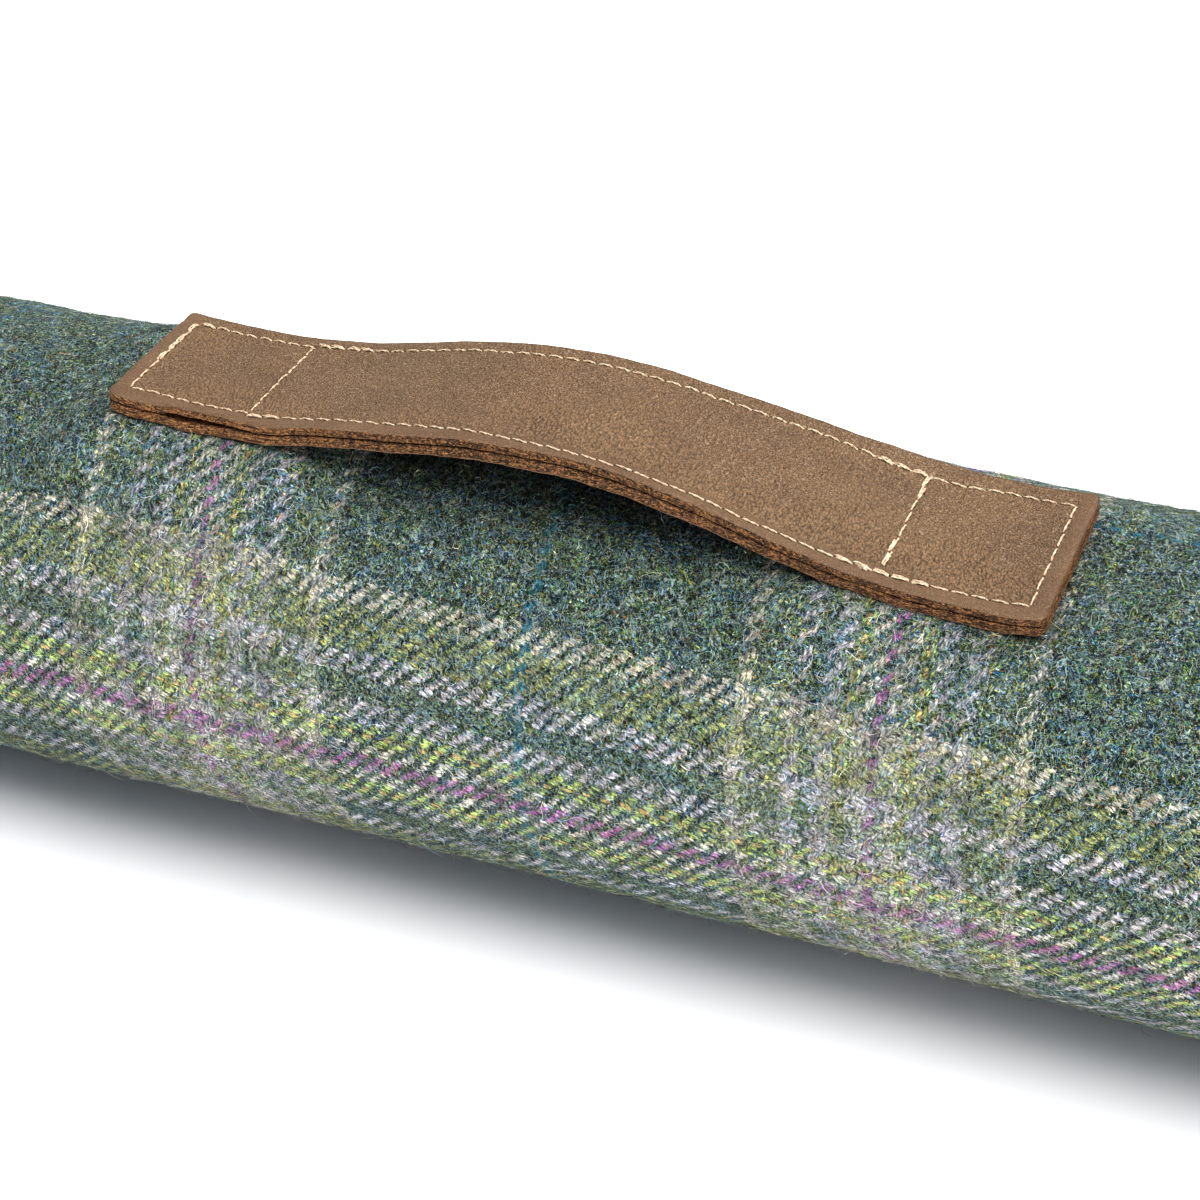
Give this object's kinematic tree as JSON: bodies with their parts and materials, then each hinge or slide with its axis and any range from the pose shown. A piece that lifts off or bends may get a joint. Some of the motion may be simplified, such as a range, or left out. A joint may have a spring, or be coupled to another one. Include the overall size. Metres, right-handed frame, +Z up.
{
  "type": "draught excluder",
  "caption": "Filled roll of checked wool cloth that lies along the foot of a door, with a stitched leather carrying handle arched over its middle.",
  "frame": {"origin": "on the floor, under the middle of the roll", "axes": "+X along the roll, +Y away from the side that faces the camera, +Z up through the handle"},
  "size_m": [0.9, 0.144, 0.1234],
  "materials": {
    "tweed": "fuzzy heathered wool twill, woven in a green and blue-teal plaid with lilac, yellow-green, cream and magenta lines",
    "leather_face": "mid-brown waxed leather with a fine pebbled grain, cream stitching round the edge",
    "leather_back": "the same leather, its raw cut edge darker and fibrous"
  },
  "bodies": {
    "root": {"filled_cover": "tweed", "handle_top_layer": "leather_face", "handle_under_layer": "leather_back"}
  },
  "joints": []
}
